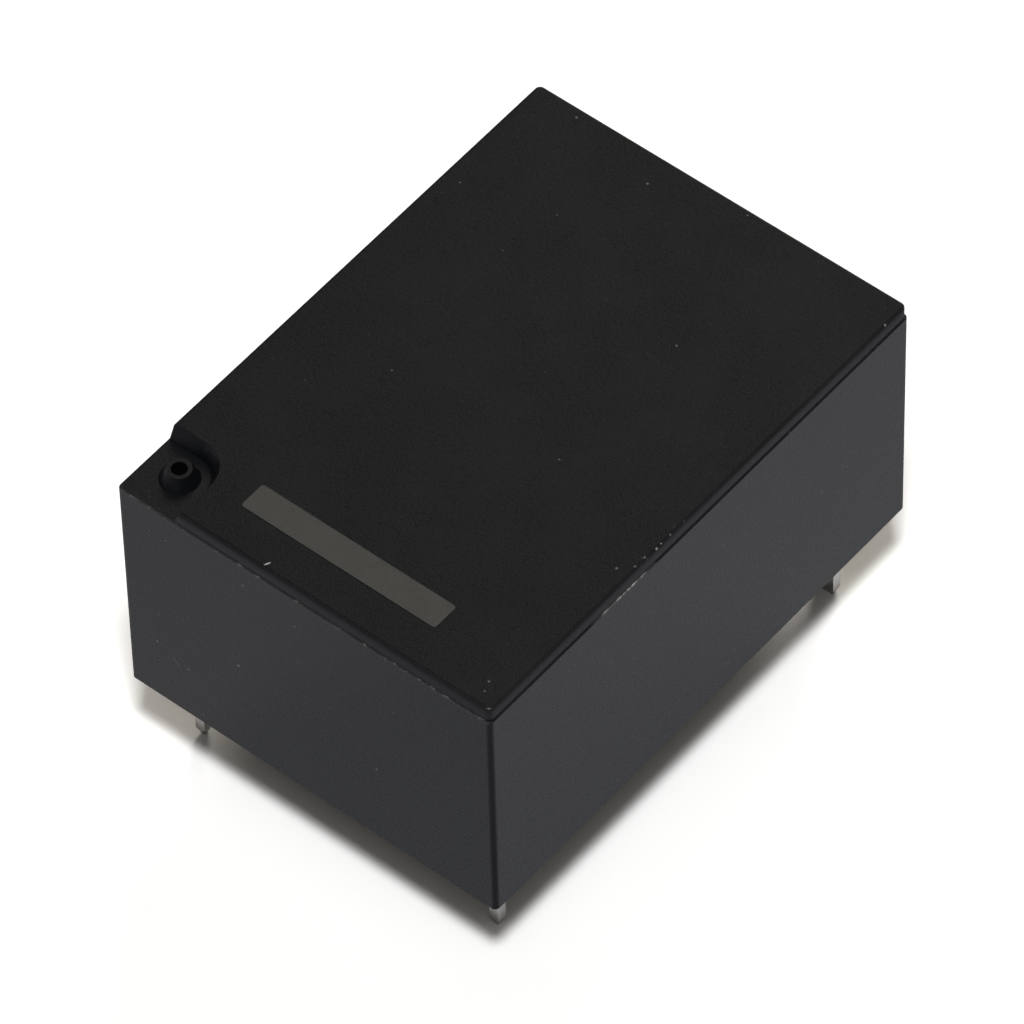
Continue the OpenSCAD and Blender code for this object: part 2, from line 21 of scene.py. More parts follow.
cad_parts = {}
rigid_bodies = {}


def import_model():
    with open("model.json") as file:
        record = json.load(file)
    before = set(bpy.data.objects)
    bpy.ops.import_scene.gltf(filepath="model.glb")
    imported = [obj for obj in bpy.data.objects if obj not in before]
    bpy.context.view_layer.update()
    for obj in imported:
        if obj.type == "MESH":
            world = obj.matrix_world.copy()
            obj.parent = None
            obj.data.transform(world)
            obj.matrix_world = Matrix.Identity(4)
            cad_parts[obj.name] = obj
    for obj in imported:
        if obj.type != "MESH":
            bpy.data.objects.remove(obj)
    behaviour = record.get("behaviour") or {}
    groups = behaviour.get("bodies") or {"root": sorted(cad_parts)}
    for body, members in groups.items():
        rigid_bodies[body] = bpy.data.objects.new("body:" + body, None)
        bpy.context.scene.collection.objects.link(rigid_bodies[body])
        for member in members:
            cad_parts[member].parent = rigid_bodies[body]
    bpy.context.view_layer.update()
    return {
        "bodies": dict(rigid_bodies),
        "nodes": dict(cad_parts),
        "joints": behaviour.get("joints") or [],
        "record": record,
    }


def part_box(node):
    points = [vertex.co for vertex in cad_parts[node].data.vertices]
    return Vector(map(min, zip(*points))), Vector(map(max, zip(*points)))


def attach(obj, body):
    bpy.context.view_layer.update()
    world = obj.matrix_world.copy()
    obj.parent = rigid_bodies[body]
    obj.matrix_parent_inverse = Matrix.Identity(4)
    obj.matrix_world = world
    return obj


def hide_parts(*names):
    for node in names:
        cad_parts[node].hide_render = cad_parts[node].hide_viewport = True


LOG = logging.getLogger("relay")
PHOTO_PX = 1024
SENSOR_MM = 36.0
MM = 0.001
FULL_TURN = 2 * math.pi
MIX_LOW, MIX_HIGH, MIX_OUT = 6, 7, 2  # sockets of a Mix node that mixes colours
NOISE_MEAN = 0.5

Number = Union[float, "Sock"]
Colour = tuple[float, float, float]


class Axis(Enum):
    """The three directions of the row frame, by index."""

    X = 0
    Y = 1
    Z = 2


@dataclass(frozen=True)
class Sock:
    """A number socket that Python's operators extend with Math nodes.

    Args:
        book: the node book that the socket belongs to.
        out: the socket itself.
    """

    book: "NodeBook"
    out: bpy.types.NodeSocket

    def math(self, operation: str, *others: Number) -> "Sock":
        """Returns the socket of a Math node that takes this value first."""
        node = self.book.add("ShaderNodeMath", {"operation": operation}, dict(enumerate((self, *others))))
        return Sock(self.book, node.outputs[0])

    def __add__(self, other: Number) -> "Sock":
        """Returns the sum."""
        return self.math("ADD", other)

    __radd__ = __add__

    def __sub__(self, other: Number) -> "Sock":
        """Returns this less the other."""
        return self.math("SUBTRACT", other)

    def __rsub__(self, other: float) -> "Sock":
        """Returns a plain number less this."""
        return (self * -1.0) + other

    def __mul__(self, other: Number) -> "Sock":
        """Returns the product."""
        return self.math("MULTIPLY", other)

    __rmul__ = __mul__

    def __abs__(self) -> "Sock":
        """Returns the size without its sign."""
        return self.math("ABSOLUTE")

    def least(self, other: Number) -> "Sock":
        """Returns the smaller of the two."""
        return self.math("MINIMUM", other)

    def most(self, other: Number) -> "Sock":
        """Returns the larger of the two."""
        return self.math("MAXIMUM", other)

    def fade(self, start: float, end: float) -> "Sock":
        """Fades this value smoothly into a mask.

        Args:
            start: the value where the mask is 0; it may be the larger of the two.
            end: the value where the mask is 1.

        Returns:
            The mask, which stays 0 or 1 beyond them.
        """
        settings = {"interpolation_type": "SMOOTHSTEP", "clamp": True}
        if start < end:
            inputs = {0: self, 1: start, 2: end, 3: 0.0, 4: 1.0}
        else:
            inputs = {0: self, 1: end, 2: start, 3: 1.0, 4: 0.0}
        return Sock(self.book, self.book.add("ShaderNodeMapRange", settings, inputs).outputs[0])


@dataclass(frozen=True)
class Point:
    """A vector socket, such as a place on the surface in millimetres.

    Args:
        book: the node book that the socket belongs to.
        out: the socket itself.
    """

    book: "NodeBook"
    out: bpy.types.NodeSocket

    def vector(self, operation: str, other: Any) -> bpy.types.Node:
        """Returns a Vector Math node that takes this vector first."""
        return self.book.add("ShaderNodeVectorMath", {"operation": operation}, {0: self, 1: other})

    def times(self, factors: Sequence[float]) -> "Point":
        """Returns the vector stretched along each axis."""
        return Point(self.book, self.vector("MULTIPLY", tuple(factors)).outputs[0])

    def distance(self, place: Sequence[float]) -> Sock:
        """Returns the distance to a place."""
        return Sock(self.book, self.vector("DISTANCE", tuple(place)).outputs["Value"])

    def parts(self) -> tuple[Sock, Sock, Sock]:
        """Returns the three coordinates."""
        node = self.book.add("ShaderNodeSeparateXYZ", {}, {0: self})
        return tuple(Sock(self.book, node.outputs[i]) for i in range(3))


class NodeBook:
    """Makes the nodes of one material or world.

    Args:
        tree: the node tree to write in, which is emptied first.
    """

    def __init__(self, tree: bpy.types.NodeTree) -> None:
        """Empties the tree and keeps it."""
        self.tree = tree
        tree.nodes.clear()

    def add(self, kind: str, settings: dict[str, Any], inputs: dict[Any, Any]) -> bpy.types.Node:
        """Makes one node.

        Args:
            kind: the node's type name.
            settings: properties of the node, set before its sockets.
            inputs: values or links, by socket name or index.

        Returns:
            The node.
        """
        node = self.tree.nodes.new(kind)
        for name, value in settings.items():
            setattr(node, name, value)
        for key, value in inputs.items():
            if isinstance(value, (Sock, Point)):
                self.tree.links.new(value.out, node.inputs[key])
            elif isinstance(value, bpy.types.NodeSocket):
                self.tree.links.new(value, node.inputs[key])
            else:
                node.inputs[key].default_value = value
        return node

    def place_mm(self) -> Point:
        """Reads the place on the piece from Object coordinates.

        Returns:
            The place in millimetres.
        """
        source = self.add("ShaderNodeTexCoord", {}, {})
        inputs = {0: source.outputs["Object"], "Scale": 1 / MM}
        scaled = self.add("ShaderNodeVectorMath", {"operation": "SCALE"}, inputs)
        return Point(self, scaled.outputs[0])

    def noise(self, place: Point, per_mm: float, detail: float = 2.0, rough: float = 0.5) -> Sock:
        """Returns smooth noise from 0 to 1 with so many features to the millimetre."""
        inputs = {"Vector": place, "Scale": per_mm, "Detail": detail, "Roughness": rough}
        return Sock(self, self.add("ShaderNodeTexNoise", {}, inputs).outputs[0])

    def cells(self, place: Point, per_mm: float) -> Sock:
        """Returns the distance to the nearest cell centre of a Voronoi pattern."""
        node = self.add("ShaderNodeTexVoronoi", {}, {"Vector": place, "Scale": per_mm})
        return Sock(self, node.outputs["Distance"])

    def blend(self, share: Number, low: Any, high: Any) -> bpy.types.NodeSocket:
        """Returns the colour that is low where share is 0 and high where it is 1."""
        inputs = {"Factor": share, MIX_LOW: rgba(low), MIX_HIGH: rgba(high)}
        return self.add("ShaderNodeMix", {"data_type": "RGBA"}, inputs).outputs[MIX_OUT]

    def bump(self, height: Sock, depth_mm: float, strength: float) -> bpy.types.NodeSocket:
        """Returns a normal bent by a height from 0 to 1 over a depth in millimetres."""
        inputs = {"Height": height, "Distance": depth_mm * MM, "Strength": strength}
        return self.add("ShaderNodeBump", {}, inputs).outputs[0]


def rgba(value: Any) -> Any:
    """Returns a plain colour with its alpha, and a link as it is."""
    return (*value, 1.0) if isinstance(value, tuple) else value


@dataclass(frozen=True)
class Finish(ABC):
    """A surface finish, which becomes one material.

    Args:
        name: the material's name.
        ior: how strongly the surface mirrors at a glance.
    """

    name: str
    ior: float = 1.46

    @abstractmethod
    def skin(self, book: NodeBook) -> dict[str, Any]:
        """Builds the nodes of what changes over the surface.

        Args:
            book: the material's node book.

        Returns:
            Values and links, by socket of the shader.
        """

    def fixed(self) -> dict[str, Any]:
        """Returns what is the same all over, by socket of the shader."""
        return {"IOR": self.ior}

    def material(self) -> bpy.types.Material:
        """Makes the finish a material, once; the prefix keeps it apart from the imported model's own.

        Returns:
            The material.
        """
        name = f"finish_{self.name}"
        made = bpy.data.materials.get(name)
        if made is not None:
            return made
        made = bpy.data.materials.new(name)
        made.use_nodes = True
        book = NodeBook(made.node_tree)
        shader = book.add("ShaderNodeBsdfPrincipled", {}, {**self.fixed(), **self.skin(book)})
        book.add("ShaderNodeOutputMaterial", {}, {"Surface": shader.outputs[0]})
        return made


@dataclass(frozen=True)
class Speck:
    """A fleck of dust or a chip.

    Args:
        place: its middle in millimetres.
        size: its radius in millimetres.
        share: how much of the surface's own colour it hides.
    """

    place: tuple[float, float, float]
    size: float
    share: float


@dataclass(frozen=True)
class Scratch:
    """A fine straight scratch from one place to another.

    Args:
        start, end: its two ends in millimetres.
        half_width: half its width in millimetres.
        share: how much of the surface's own colour it hides.
    """

    start: tuple[float, float, float]
    end: tuple[float, float, float]
    half_width: float
    share: float


@dataclass(frozen=True)
class CaseSize:
    """Sizes of the case in millimetres, read from the frame.

    Args:
        half_l: half the length of the case.
        half_w: half its width.
        rim_z: level of the rim.
        top_z: level of the lid plate.
    """

    half_l: float
    half_w: float
    rim_z: float
    top_z: float


@dataclass(frozen=True)
class CasePlastic(Finish):
    """Black satin moulding with a fine spark texture, rubbed edges, dust and scratches.

    Its walls owe most of their grey to the floor that they mirror. Places and widths are in millimetres.

    Args:
        size: the case sizes that the wear follows.
        ground, cloud: its own colour and that of its faint flow clouds.
        rubbed, dust: colours of rubbed edges and of dust; the rubbed colour also paints light into the
            shaded crease of the short side.
        specks, scratches: marks at their measured places.
        roughness: of the smooth skin.
        coarseness: how much rougher the coarse edges are.
        rubbed_x: middle of the stretch where the long front edge is rubbed most.
        nicked_x: middle of the stretch where the lid plate's edge is nicked.
        ledge: how far the lid plate stands back from the walls.
    """

    size: CaseSize = CaseSize(half_l=11.0, half_w=7.95, rim_z=13.8, top_z=14.4)
    ground: Colour = (0.0020, 0.0023, 0.0030)
    cloud: Colour = (0.0027, 0.0030, 0.0038)
    rubbed: Colour = (0.26, 0.26, 0.26)
    dust: Colour = (0.30, 0.295, 0.285)
    specks: tuple[Speck, ...] = ()
    scratches: tuple[Scratch, ...] = ()
    roughness: float = 0.28
    coarseness: float = 0.48
    rubbed_x: float = -4.1
    nicked_x: float = -2.0
    ledge: float = 0.05

    def edge_wear_and_crease_light(self, book: NodeBook, place: Point) -> Sock:
        """Marks the rubbed stretches of the rim's two front edges.

        The mask is a narrow band about each edge line, cut into flecks by noise. The long side is rubbed
        most about one place along X. On the short side the crease above the rim and an even band along the
        edge are painted light, which lifts the shade of the crease under the lid plate; the flecks there
        are rubbing.

        Args:
            book: the material's node book.
            place: the place on the surface.

        Returns:
            1 where it is worn and where light is painted into the short side's crease, 0 elsewhere.
        """
        x, y, z = place.parts()
        size = self.size
        edge_drop = 0.005
        on_wall = {"start": 0.07, "end": 0.04}
        line = abs(z - (size.rim_z - edge_drop)).fade(0.04, 0.015)
        long_side = (y + size.half_w).fade(**on_wall)
        short_side = (x + size.half_l).fade(**on_wall)
        worst = abs(x - self.rubbed_x).fade(1.9, 0.3)
        flecks = book.noise(place.times((1.0, 1.0, 0.4)), per_mm=3.2, detail=3.0, rough=0.7)
        fleck_share, even_share, rest_share, stray_share = 0.85, 0.30, 0.02, 0.28
        streak = worst * (flecks.fade(0.42, 0.64) * fleck_share + even_share) + rest_share
        long_wear = line * long_side * streak.most(flecks.fade(0.62, 0.74) * stray_share)
        # painted light: the crease terms and the even rest along the short edge lighten the shaded crease
        # under the lid plate; only the flecks there are rubbing
        crease_light_share, crease_light_rest, short_share, short_light_rest = 0.05, 0.01, 0.22, 0.05
        crease = abs(z - size.rim_z).fade(0.16, 0.02) * (flecks * crease_light_share + crease_light_rest)
        short_wear_and_crease_light = short_side * (line * (flecks.fade(0.54, 0.68) * short_share + short_light_rest) + crease)
        return long_wear.most(short_wear_and_crease_light)

    def coarse_edges(self, place: Point) -> Sock:
        """Marks the lid plate's side and the upright corners, where the mould's texture is coarser.

        The plate's side is a band between two levels near the walls, coarser towards its top. A corner is
        where both X and Y are near their largest.

        Args:
            place: the place on the surface.

        Returns:
            Up to 1 where the texture is coarser.
        """
        x, y, z = place.parts()
        half_l, half_w, rim, top = self.size.half_l, self.size.half_w, self.size.rim_z, self.size.top_z
        near_wall = (abs(x) - half_l).most(abs(y) - half_w).fade(-0.40, -0.25)
        lid_side = z.fade(rim + 0.01, rim + 0.04) * z.fade(top - 0.002, top - 0.04)
        upper = z.fade(rim + 0.15, top - 0.05)
        upper_share, side_share = 0.4, 0.35
        corner_outer, corner_inner = 0.07, 0.19
        corner_x = abs(x).fade(half_l - corner_inner, half_l - corner_outer)
        corner_y = abs(y).fade(half_w - corner_inner, half_w - corner_outer)
        return (lid_side * near_wall * (upper * upper_share + side_share)).most(corner_x * corner_y)

    def plate_wear(self, book: NodeBook, place: Point) -> Sock:
        """Marks the few nicks of the lid plate's upper edge: high noise on a short stretch of the edge.

        Args:
            book: the material's node book.
            place: the place on the surface.

        Returns:
            1 on a nick and 0 elsewhere.
        """
        x, y, z = place.parts()
        near_top = (z - self.size.top_z).fade(-0.12, -0.06)
        edge = (y + self.size.half_w - self.ledge).fade(0.16, 0.06)
        stretch = abs(x - self.nicked_x).fade(1.3, 0.4)
        flecks = book.noise(place.times((1.2, 1.2, 1.2)), per_mm=3.4, detail=2.0, rough=0.6)
        return near_top * edge * stretch * flecks.fade(0.60, 0.66)

    def marks(self, book: NodeBook, place: Point) -> Number:
        """Adds up the placed specks and scratches.

        A speck counts inside its radius, with a distance shaken by noise so that its outline is ragged. A
        scratch counts where the distances to its two ends add up to hardly more than its length.

        Args:
            book: the material's node book.
            place: the place on the surface.

        Returns:
            How much of the surface's own colour they hide.
        """
        speck_core, scratch_core = 0.55, 0.2
        jitter = book.noise(place, per_mm=9.0, detail=1.0)
        total: Number = 0.0
        for speck in self.specks:
            ragged = place.distance(speck.place) + (jitter - NOISE_MEAN) * speck.size
            total = ragged.fade(speck.size, speck_core * speck.size) * speck.share + total
        for scratch in self.scratches:
            span = math.dist(scratch.start, scratch.end)
            slack = 2 * scratch.half_width**2 / span
            excess = place.distance(scratch.start) + place.distance(scratch.end) - span
            total = excess.fade(slack, scratch_core * slack) * scratch.share + total
        return total

    def stray_dust(self, book: NodeBook, place: Point) -> Sock:
        """Scatters tiny stray specks: the centres of wide cells, kept only where slow noise is high.

        Args:
            book: the material's node book.
            place: the place on the surface.

        Returns:
            How much of the surface's own colour they hide.
        """
        large_share, small_share = 0.35, 0.16
        large = book.cells(place, per_mm=1.5).fade(0.055, 0.02)
        large_kept = book.noise(place, per_mm=0.9, detail=0.0).fade(0.56, 0.66)
        small = book.cells(place.times((1.0, 1.3, 0.9)), per_mm=3.1).fade(0.07, 0.03)
        small_kept = book.noise(place, per_mm=0.6, detail=0.0).fade(0.60, 0.70)
        return large * large_kept * large_share + small * small_kept * small_share

    def skin(self, book: NodeBook) -> dict[str, Any]:
        """Lays wear, dust and texture over the moulding.

        Args:
            book: the material's node book.

        Returns:
            What changes over the surface, by socket of the shader.
        """
        place = book.place_mm()
        clouds = book.noise(place.times((1.0, 1.0, 1.7)), per_mm=0.32, detail=3.0, rough=0.55)
        spark = book.noise(place, per_mm=11.0, detail=3.0, rough=0.6)
        pits = book.cells(place, per_mm=7.5).fade(0.10, 0.45)
        # this mask is rubbing, and painted light in the shaded crease of the short side
        wear = self.edge_wear_and_crease_light(book, place).most(self.plate_wear(book, place))
        dirt = (self.stray_dust(book, place) + self.marks(book, place)).least(1.0)
        clean = book.blend(clouds.fade(0.35, 0.70), self.ground, self.cloud)
        wear_share, wear_gloss, dirt_rough = 0.8, 0.05, 0.3
        # the rubbed colour is also painted light here, where it lightens the short side's shaded crease
        worn = book.blend(wear.least(1.0) * wear_share, clean, self.rubbed)
        spark_rough, cloud_rough = 0.12, 0.05
        grain = (spark - NOISE_MEAN) * spark_rough + (clouds - NOISE_MEAN) * cloud_rough
        rough = grain + self.coarse_edges(place) * self.coarseness + self.roughness
        spark_height, pit_height = 0.6, 0.4
        relief = spark * spark_height + pits * pit_height
        return {
            "Base Color": book.blend(dirt, worn, self.dust),
            "Roughness": rough + dirt * dirt_rough - wear * wear_gloss,
            "Normal": book.bump(relief, depth_mm=0.010, strength=0.7),
        }


@dataclass(frozen=True)
class StripeInk(Finish):
    """Pad-printed grey ink, laid in fine overlapping rows so that it looks speckled and faintly ribbed.

    Args:
        ink, thin: its colour where it covers fully and where it is thin.
        rows_per_mm: how close the rows lie.
        wander_mm: how far a row strays.
        roughness: of the matt film.
    """

    ink: Colour = (0.0262, 0.0260, 0.0230)
    thin: Colour = (0.0096, 0.0091, 0.0081)
    rows_per_mm: float = 11.0
    wander_mm: float = 0.06
    roughness: float = 0.66

    def skin(self, book: NodeBook) -> dict[str, Any]:
        """Prints mottled rows that run along the stripe: a sine across it, which slow noise shifts.

        Args:
            book: the material's node book.

        Returns:
            What changes over the surface, by socket of the shader.
        """
        place = book.place_mm()
        across = place.parts()[0]
        wander = book.noise(place, per_mm=0.5) * self.wander_mm
        rows = ((across + wander) * (self.rows_per_mm * FULL_TURN)).math("SINE") * 0.5 + 0.5
        dots = book.cells(place, per_mm=12.0).fade(0.15, 0.62)
        blotch = book.noise(place, per_mm=1.1, detail=4.0, rough=0.6)
        row_share, dot_share, blotch_share = 0.36, 0.46, 0.34
        cover = (rows * row_share + dots * dot_share + blotch.fade(0.3, 0.7) * blotch_share).least(1.0)
        hiding, blotch_rough = 0.75, 0.12
        return {
            "Base Color": book.blend(1.0 - cover * hiding, self.ink, self.thin),
            "Roughness": blotch * blotch_rough + self.roughness,
            "Normal": book.bump(cover, depth_mm=0.004, strength=0.6),
        }


@dataclass(frozen=True)
class Moulded(Finish):
    """Plain moulded plastic with a light grain and faint flow clouds.

    Args:
        ground, cloud: its own colour and that of the clouds.
        grain_per_mm: how fine the grain is.
        roughness: of its skin.
    """

    ground: Colour = (0.5, 0.5, 0.5)
    cloud: Colour = (0.55, 0.55, 0.55)
    grain_per_mm: float = 6.0
    roughness: float = 0.45

    def skin(self, book: NodeBook) -> dict[str, Any]:
        """Lays a grain over slow flow clouds.

        Args:
            book: the material's node book.

        Returns:
            What changes over the surface, by socket of the shader.
        """
        place = book.place_mm()
        clouds = book.noise(place.times((0.5, 1.0, 1.0)), per_mm=0.5, detail=3.0)
        grain = book.noise(place, self.grain_per_mm)
        grain_rough = 0.12
        return {
            "Base Color": book.blend(clouds.fade(0.3, 0.7), self.ground, self.cloud),
            "Roughness": (grain - NOISE_MEAN) * grain_rough + self.roughness,
            "Normal": book.bump(grain, depth_mm=0.004, strength=0.4),
        }


@dataclass(frozen=True)
class Metal(Finish):
    """Rolled, tinned or plated metal with draw lines along one axis and dull blotches.

    Args:
        ground, dull: its colour where bright and where dull.
        lines_along: the direction of the draw lines.
        roughness: of the metal on the whole.
        streaks: how much the draw lines change the roughness.
    """

    ground: Colour = (0.6, 0.6, 0.6)
    dull: Colour = (0.4, 0.4, 0.4)
    lines_along: Axis = Axis.Z
    roughness: float = 0.3
    streaks: float = 0.12

    def fixed(self) -> dict[str, Any]:
        """Returns a shader that is metal throughout."""
        return {"Metallic": 1.0}

    def skin(self, book: NodeBook) -> dict[str, Any]:
        """Lays draw lines, which are noise stretched along the axis, over slow blotches.

        Args:
            book: the material's node book.

        Returns:
            What changes over the surface, by socket of the shader.
        """
        place = book.place_mm()
        across_lines, along_lines, blotch_share = 8.0, 0.5, 0.18
        stretch = [across_lines] * 3
        stretch[self.lines_along.value] = along_lines
        lines = book.noise(place.times(stretch), per_mm=1.0, detail=3.0, rough=0.6)
        blotch = book.noise(place, per_mm=1.3, detail=4.0, rough=0.6)
        even = self.roughness - blotch_share / 2
        line_height, blotch_height = 0.7, 0.3
        relief = lines * line_height + blotch * blotch_height
        return {
            "Base Color": book.blend(blotch.fade(0.42, 0.72), self.ground, self.dull),
            "Roughness": (lines - NOISE_MEAN) * self.streaks + blotch * blotch_share + even,
            "Normal": book.bump(relief, depth_mm=0.004, strength=0.5),
        }


@dataclass(frozen=True)
class CuredResin(Finish):
    """Poured sealing resin: glossy and dark, with a slow orange-peel surface and a few bubbles.

    Args:
        ground, pale: its own colour and that of its paler clouds.
        roughness: of the clear surface.
    """

    ground: Colour = (0.020, 0.019, 0.018)
    pale: Colour = (0.032, 0.030, 0.027)
    roughness: float = 0.14

    def skin(self, book: NodeBook) -> dict[str, Any]:
        """Lays ripples and a few bubbles over slow clouds.

        Args:
            book: the material's node book.

        Returns:
            What changes over the surface, by socket of the shader.
        """
        place = book.place_mm()
        clouds = book.noise(place, per_mm=0.35, detail=3.0)
        peel = book.noise(place, per_mm=1.6)
        bubbles = book.cells(place, per_mm=0.9).fade(0.12, 0.05)
        cloud_rough, bubble_rough = 0.12, 0.25
        peel_height, bubble_height = 0.8, 0.2
        relief = peel * peel_height + bubbles * bubble_height
        return {
            "Base Color": book.blend(clouds.fade(0.35, 0.7), self.ground, self.pale),
            "Roughness": clouds * cloud_rough + bubbles * bubble_rough + self.roughness,
            "Normal": book.bump(relief, depth_mm=0.03, strength=0.5),
        }


@dataclass(frozen=True)
class Enamelled(Finish):
    """Enamelled copper wire under clear varnish, a little darker in patches.

    Args:
        ground, dark: its own colour and that of the patches.
        roughness: of the wire under its varnish.
        metallic: how much of the copper shows as metal.
        coat_roughness, coat_ior: of the varnish.
    """

    ground: Colour = (0.46, 0.155, 0.052)
    dark: Colour = (0.27, 0.082, 0.028)
    roughness: float = 0.28
    metallic: float = 0.75
    coat_roughness: float = 0.12
    coat_ior: float = 1.5

    def fixed(self) -> dict[str, Any]:
        """Returns copper under a clear coat."""
        return {
            "Metallic": self.metallic,
            "Coat Roughness": self.coat_roughness,
            "Coat IOR": self.coat_ior,
        }

    def skin(self, book: NodeBook) -> dict[str, Any]:
        """Lays patches of varnish over a fine draw grain.

        Args:
            book: the material's node book.

        Returns:
            What changes over the surface, by socket of the shader.
        """
        place = book.place_mm()
        patches = book.noise(place, per_mm=0.8, detail=3.0)
        grain = book.noise(place, per_mm=14.0)
        grain_rough, patch_coat, least_coat = 0.1, 0.6, 0.3
        return {
            "Base Color": book.blend(patches.fade(0.38, 0.68), self.ground, self.dark),
            "Roughness": grain * grain_rough + self.roughness,
            "Coat Weight": patches * patch_coat + least_coat,
            "Normal": book.bump(grain, depth_mm=0.002, strength=0.3),
        }


class Finishes:
    """The relay's finishes, each made once.

    Args:
        size: the case sizes that the wear follows.
    """

    def __init__(self, size: CaseSize) -> None:
        """Sets every finish of the relay."""
        half_l, half_w, top = size.half_l, size.half_w, size.top_z
        self.case = CasePlastic(
            "case_plastic",
            ior=1.33,
            size=size,
            specks=(
                Speck((10.54, 5.93, top), 0.05, 0.20),
                Speck((9.73, 2.20, top), 0.05, 0.26),
                Speck((4.79, -3.00, top), 0.055, 0.20),
                Speck((9.80, -7.86, top - 0.03), 0.06, 0.34),
                Speck((-3.80, -7.38, top), 0.055, 0.20),
                Speck((-3.36, -7.80, top), 0.05, 0.20),
                Speck((-2.32, -7.88, top - 0.05), 0.06, 0.45),
                Speck((-1.60, -7.87, top - 0.02), 0.05, 0.30),
                Speck((-10.00, -7.08, top), 0.06, 0.18),
                Speck((6.33, -half_w, 8.98), 0.05, 0.50),
                Speck((7.74, -half_w, 9.00), 0.04, 0.30),
                Speck((-half_l, 6.61, 6.65), 0.05, 0.40),
                Speck((-half_l, 5.27, 6.20), 0.05, 0.36),
                Speck((-half_l, 6.47, 8.21), 0.04, 0.32),
                Speck((-half_l, 2.98, 8.24), 0.05, 0.45),
                Speck((-half_l, 2.56, 12.82), 0.045, 0.36),
                Speck((-half_l, 0.36, 12.39), 0.045, 0.36),
                Speck((-half_l, -2.94, 7.39), 0.05, 0.45),
                Speck((-half_l, -3.80, 11.09), 0.04, 0.28),
                Speck((-9.1, 6.2, size.rim_z), 0.04, 0.12),
            ),
            scratches=(
                Scratch((-10.83, 1.705, top), (-10.62, 1.60, top), 0.038, 0.75),
                Scratch((-half_l, 5.95, 6.35), (-half_l, 5.6, 5.95), 0.02, 0.22),
            ),
        )
        self.ink = StripeInk("stripe_ink")
        self.base = Moulded("base_plastic", ground=(0.018, 0.018, 0.019), cloud=(0.024, 0.024, 0.026))
        self.resin = CuredResin("resin", ior=1.52)
        self.bobbin = Moulded("bobbin_plastic", ground=(0.66, 0.62, 0.51), cloud=(0.74, 0.70, 0.60))
        self.card = Moulded("card_plastic", ground=(0.62, 0.17, 0.035), cloud=(0.70, 0.22, 0.05))
        self.winding = Enamelled("winding")
        self.lead = Enamelled("lead_wire", ground=(0.52, 0.19, 0.07))
        self.tin = Metal("tinned_pin", ground=(0.74, 0.71, 0.65), dull=(0.55, 0.51, 0.45), roughness=0.20)
        self.iron = Metal("iron", ground=(0.34, 0.34, 0.35), dull=(0.29, 0.29, 0.29), lines_along=Axis.X)
        self.bronze = Metal("spring_bronze", ground=(0.66, 0.40, 0.19), dull=(0.48, 0.28, 0.13))
        self.silver = Metal("silver", ground=(0.74, 0.73, 0.70), dull=(0.55, 0.54, 0.50), roughness=0.25)


class Surface:
    """A closed mesh worked out on a grid of two parameters.

    Args:
        name: the object's name.
        grid: an array of rows x columns x 3 places in metres; the columns run round a closed section.
    """

    def __init__(self, name: str, grid: np.ndarray) -> None:
        """Keeps the grid."""
        self.name = name
        self.grid = grid

    def build(self, material: bpy.types.Material) -> bpy.types.Object:
        """Makes the object: quads between the rows, with a flat cap on the first and the last row.

        Args:
            material: its material.

        Returns:
            The object, at the origin.
        """
        rows, columns, _ = self.grid.shape
        index = np.arange(rows * columns).reshape(rows, columns)
        after = np.roll(index, -1, axis=1)
        quads = np.stack([index[:-1], after[:-1], after[1:], index[1:]], axis=-1).reshape(-1, 4)
        faces = [*quads.tolist(), index[0, ::-1].tolist(), index[-1].tolist()]
        return mesh_object(self.name, self.grid.reshape(-1, 3), faces, material)


def mesh_object(
    name: str,
    points: np.ndarray,
    faces: list[list[int]],
    material: bpy.types.Material,
    smooth: bool = True,
) -> bpy.types.Object:
    """Makes a mesh object at the origin.

    Args:
        name: the object's name.
        points: its vertices in metres.
        faces: vertex indices of each face, seen anticlockwise from outside.
        material: its material.
        smooth: whether its faces shade smoothly.

    Returns:
        The object.
    """
    mesh = bpy.data.meshes.new(name)
    mesh.from_pydata(points.tolist(), [], faces)
    mesh.materials.append(material)
    mesh.polygons.foreach_set("use_smooth", np.full(len(mesh.polygons), smooth))
    mesh.validate()
    mesh.update()
    made = bpy.data.objects.new(name, mesh)
    bpy.context.scene.collection.objects.link(made)
    return made


@dataclass(frozen=True)
class Winding:
    """The copper winding, with its turns as ribs.

    Args:
        wire_mm: thickness of the wire.
        rows_per_turn: grid rows along X for each turn.
        columns: grid columns round the section.
        rib_mm: depth of the groove between two turns.
        flat: how steeply the flat sides run from one half-round end to the other.
    """

    wire_mm: float = 0.14
    rows_per_turn: int = 6
    columns: int = 112
    rib_mm: float = 0.045
    flat: float = 4.0

    def build(self, finish: Finish) -> bpy.types.Object:
        """Makes the ribbed winding in the place of the plain one.

        The section is a bar with two half-round ends. Its outline shrinks by a rectified sine of the
        place along the coil plus a turn for each lap, so that the ribs run as one helix. The ends close
        flat.

        Args:
            finish: the enamelled wire.

        Returns:
            The piece.
        """
        low, high = (np.array(corner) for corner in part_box("coil_winding"))
        centre = (low + high) / 2
        length, half_y, half_z = (high - low) * (1.0, 0.5, 0.5)
        straight = half_y - half_z
        turns = round(length / (self.wire_mm * MM))
        along = np.linspace(0, 1, turns * self.rows_per_turn + 1)
        lap = np.linspace(0, 1, self.columns, endpoint=False)
        angle = lap * FULL_TURN
        phase = (along[:, None] * turns + lap[None, :]) * math.pi
        radius = half_z - self.rib_mm * MM * (1 - np.abs(np.sin(phase)))
        side = np.cos(angle)
        y = np.sign(side) * straight * np.minimum(1, np.abs(side) * self.flat) + radius * side
        z = radius * np.sin(angle)
        x = np.broadcast_to((low[0] + along * length)[:, None], y.shape)
        grid = np.stack([x, y + centre[1], z + centre[2]], axis=-1)
        piece = Surface("wound_coil", grid).build(finish.material())
        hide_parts("coil_winding")
        return piece


